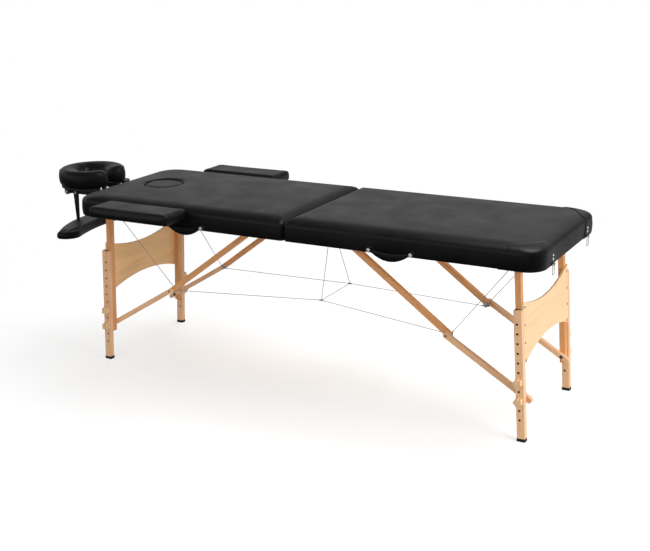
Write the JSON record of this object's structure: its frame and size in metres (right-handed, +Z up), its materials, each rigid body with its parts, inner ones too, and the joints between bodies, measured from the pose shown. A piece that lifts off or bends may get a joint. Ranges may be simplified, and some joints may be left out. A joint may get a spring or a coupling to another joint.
{
  "type": "folding massage table",
  "caption": "Folding massage table: padded hinged sections on braced, cable-stayed wooden legs, with headrest, hanging arm shelf, side armrests and a plugged face opening.",
  "frame": {"origin": "on the floor under the middle of the whole table, headrest and latches included", "axes": "+X runs to the foot end, -Y is the side with the carry handles, +Z is up"},
  "size_m": [2.16, 0.8612, 0.724],
  "materials": {
    "vinyl": "grained, soft sheen",
    "beech": "satin varnish",
    "pale_beech": "satin varnish",
    "plywood": "satin varnish",
    "knob_wood": "satin varnish",
    "steel": "zinc plated",
    "cable": "stranded",
    "chrome": "polished",
    "black_metal": "satin black",
    "rubber": "matt",
    "black_plastic": "fine grain",
    "webbing": "woven"
  },
  "bodies": {
    "head_section": {"head_frame": "beech", "head_deck": "plywood", "head_pad": "vinyl", "head_frame_fittings": "steel", "head_handle_fittings": "chrome", "latch_catches": "black_metal", "head_cables": "cable"},
    "hinge_link": {"hinge_links": "steel"},
    "foot_section": {"foot_frame": "beech", "foot_deck": "plywood", "foot_pad": "vinyl", "foot_frame_fittings": "steel", "foot_handle_fittings": "chrome", "latch_plates": "black_metal", "foot_cables": "cable", "waist_cables": "cable"},
    "face_plug": {"face_plug": "vinyl"},
    "headrest_base": {"headrest_base": "black_plastic", "headrest_rods": "steel"},
    "headrest": {"headrest_platform": "black_plastic", "headrest_cushion": "vinyl"},
    "arm_shelf": {"arm_shelf": "vinyl", "arm_shelf_straps": "webbing"},
    "near_latch": {"near_latch_bail": "chrome"},
    "far_latch": {"far_latch_bail": "chrome"},
    "foot_legs": {"foot_upper_legs": "beech", "foot_end_panel": "plywood", "foot_leg_fasteners": "steel"},
    "foot_upper_struts": {"foot_upper_braces": "beech", "foot_brace_brackets": "steel"},
    "foot_lower_struts": {"foot_lower_braces": "beech"},
    "near_foot_leg": {"near_foot_lower_leg": "pale_beech", "near_foot_rubber_foot": "rubber"},
    "near_foot_upper_knob": {"near_foot_upper_knob": "knob_wood"},
    "near_foot_lower_knob": {"near_foot_lower_knob": "knob_wood"},
    "far_foot_leg": {"far_foot_lower_leg": "pale_beech", "far_foot_rubber_foot": "rubber"},
    "far_foot_upper_knob": {"far_foot_upper_knob": "knob_wood"},
    "far_foot_lower_knob": {"far_foot_lower_knob": "knob_wood"},
    "foot_handle": {"foot_handle_grip": "vinyl"},
    "head_legs": {"head_upper_legs": "beech", "head_end_panel": "plywood", "head_leg_fasteners": "steel"},
    "head_upper_struts": {"head_upper_braces": "beech", "head_brace_brackets": "steel"},
    "head_lower_struts": {"head_lower_braces": "beech"},
    "near_head_leg": {"near_head_lower_leg": "pale_beech", "near_head_rubber_foot": "rubber"},
    "near_head_upper_knob": {"near_head_upper_knob": "knob_wood"},
    "near_head_lower_knob": {"near_head_lower_knob": "knob_wood"},
    "far_head_leg": {"far_head_lower_leg": "pale_beech", "far_head_rubber_foot": "rubber"},
    "far_head_upper_knob": {"far_head_upper_knob": "knob_wood"},
    "far_head_lower_knob": {"far_head_lower_knob": "knob_wood"},
    "head_handle": {"head_handle_grip": "vinyl"},
    "near_armrest": {"near_armrest": "vinyl", "near_armrest_pins": "steel"},
    "far_armrest": {"far_armrest": "vinyl", "far_armrest_pins": "steel"}
  },
  "joints": [
    {"name": "head_section_fold", "type": "hinge", "parent": "hinge_link", "child": "head_section", "pos_m": [0.14175, 0.18, 0.5938], "axis": [0, -1, 0], "range_deg": [0, 90]},
    {"name": "foot_section_fold", "type": "hinge", "parent": "hinge_link", "child": "foot_section", "pos_m": [0.15015, 0.18, 0.5938], "axis": [0, 1, 0], "range_deg": [0, 90], "deforming": ["waist_cables"]},
    {"name": "foot_leg_fold", "type": "hinge", "parent": "foot_section", "child": "foot_legs", "pos_m": [0.96985, 0.2205, 0.613], "axis": [0, 1, 0], "range_deg": [0, 93.34], "deforming": ["foot_cables"]},
    {"name": "foot_upper_strut_fold", "type": "hinge", "parent": "foot_section", "child": "foot_upper_struts", "pos_m": [0.29185, 0.182, 0.625], "axis": [0, -1, 0], "range_deg": [0, 37.7]},
    {"name": "foot_lower_strut_fold", "type": "hinge", "parent": "foot_legs", "child": "foot_lower_struts", "pos_m": [0.99938, 0.2036, 0.14142], "axis": [0, 1, 0], "range_deg": [0, 51.09]},
    {"name": "near_foot_leg_pull", "type": "slide", "parent": "foot_legs", "child": "near_foot_leg", "axis": [0, 1, 0], "range_m": [-0.045, 0]},
    {"name": "near_foot_upper_knob_spin", "type": "hinge", "parent": "near_foot_leg", "child": "near_foot_upper_knob", "pos_m": [0.99553, -0.261, 0.20731], "axis": [0, 1, 0], "continuous": true},
    {"name": "near_foot_lower_knob_spin", "type": "hinge", "parent": "near_foot_leg", "child": "near_foot_lower_knob", "pos_m": [0.99938, -0.261, 0.14142], "axis": [0, 1, 0], "continuous": true},
    {"name": "far_foot_leg_pull", "type": "slide", "parent": "foot_legs", "child": "far_foot_leg", "axis": [0, -1, 0], "range_m": [-0.045, 0]},
    {"name": "far_foot_upper_knob_spin", "type": "hinge", "parent": "far_foot_leg", "child": "far_foot_upper_knob", "pos_m": [0.99553, 0.261, 0.20731], "axis": [0, 1, 0], "continuous": true},
    {"name": "far_foot_lower_knob_spin", "type": "hinge", "parent": "far_foot_leg", "child": "far_foot_lower_knob", "pos_m": [0.99938, 0.261, 0.14142], "axis": [0, 1, 0], "continuous": true},
    {"name": "foot_handle_swing", "type": "hinge", "parent": "foot_section", "child": "foot_handle", "pos_m": [0.55945, -0.3065, 0.609], "axis": [-1, 0, 0], "range_deg": [0, 90]},
    {"name": "head_leg_fold", "type": "hinge", "parent": "head_section", "child": "head_legs", "pos_m": [-0.67795, 0.2205, 0.613], "axis": [0, -1, 0], "range_deg": [0, 93.34], "deforming": ["head_cables"]},
    {"name": "head_upper_strut_fold", "type": "hinge", "parent": "head_section", "child": "head_upper_struts", "pos_m": [0.00005, 0.182, 0.625], "axis": [0, 1, 0], "range_deg": [0, 37.7]},
    {"name": "head_lower_strut_fold", "type": "hinge", "parent": "head_legs", "child": "head_lower_struts", "pos_m": [-0.70747, 0.2036, 0.14142], "axis": [0, -1, 0], "range_deg": [0, 51.09]},
    {"name": "near_head_leg_pull", "type": "slide", "parent": "head_legs", "child": "near_head_leg", "axis": [0, 1, 0], "range_m": [-0.045, 0]},
    {"name": "near_head_upper_knob_spin", "type": "hinge", "parent": "near_head_leg", "child": "near_head_upper_knob", "pos_m": [-0.70363, -0.261, 0.20731], "axis": [0, 1, 0], "continuous": true},
    {"name": "near_head_lower_knob_spin", "type": "hinge", "parent": "near_head_leg", "child": "near_head_lower_knob", "pos_m": [-0.70747, -0.261, 0.14142], "axis": [0, 1, 0], "continuous": true},
    {"name": "far_head_leg_pull", "type": "slide", "parent": "head_legs", "child": "far_head_leg", "axis": [0, -1, 0], "range_m": [-0.045, 0]},
    {"name": "far_head_upper_knob_spin", "type": "hinge", "parent": "far_head_leg", "child": "far_head_upper_knob", "pos_m": [-0.70363, 0.261, 0.20731], "axis": [0, 1, 0], "continuous": true},
    {"name": "far_head_lower_knob_spin", "type": "hinge", "parent": "far_head_leg", "child": "far_head_lower_knob", "pos_m": [-0.70747, 0.261, 0.14142], "axis": [0, 1, 0], "continuous": true},
    {"name": "head_handle_swing", "type": "hinge", "parent": "head_section", "child": "head_handle", "pos_m": [-0.26755, -0.3065, 0.609], "axis": [-1, 0, 0], "range_deg": [0, 90]},
    {"name": "near_latch_swing", "type": "hinge", "parent": "foot_section", "child": "near_latch", "pos_m": [1.07645, -0.187, 0.601], "axis": [0, -1, 0], "range_deg": [0, 150]},
    {"name": "near_armrest_pull", "type": "slide", "parent": "head_section", "child": "near_armrest", "axis": [0, -1, 0], "range_m": [0, 0.06]},
    {"name": "far_latch_swing", "type": "hinge", "parent": "foot_section", "child": "far_latch", "pos_m": [1.07645, 0.187, 0.601], "axis": [0, -1, 0], "range_deg": [0, 150]},
    {"name": "far_armrest_pull", "type": "slide", "parent": "head_section", "child": "far_armrest", "axis": [0, 1, 0], "range_m": [0, 0.06]},
    {"name": "plug_lift", "type": "slide", "parent": "head_section", "child": "face_plug", "axis": [0, 0, 1], "range_m": [0, 0.12]},
    {"name": "headrest_pull", "type": "slide", "parent": "head_section", "child": "headrest_base", "axis": [-1, 0, 0], "range_m": [0, 0.12]},
    {"name": "headrest_tilt", "type": "hinge", "parent": "headrest_base", "child": "headrest", "pos_m": [-0.99905, 0.091, 0.627], "axis": [0, -1, 0], "range_deg": [0, 40]},
    {"name": "arm_shelf_swing", "type": "hinge", "parent": "headrest_base", "child": "arm_shelf", "pos_m": [-0.96005, 0.087, 0.624], "axis": [0, -1, 0], "range_deg": [0, 15]}
  ],
  "couplings": [
    {"joint": "foot_upper_strut_fold", "follows": "foot_leg_fold", "ratio": 0.40394},
    {"joint": "foot_lower_strut_fold", "follows": "foot_leg_fold", "ratio": 0.54736},
    {"joint": "head_upper_strut_fold", "follows": "head_leg_fold", "ratio": 0.40394},
    {"joint": "head_lower_strut_fold", "follows": "head_leg_fold", "ratio": 0.54736}
  ]
}
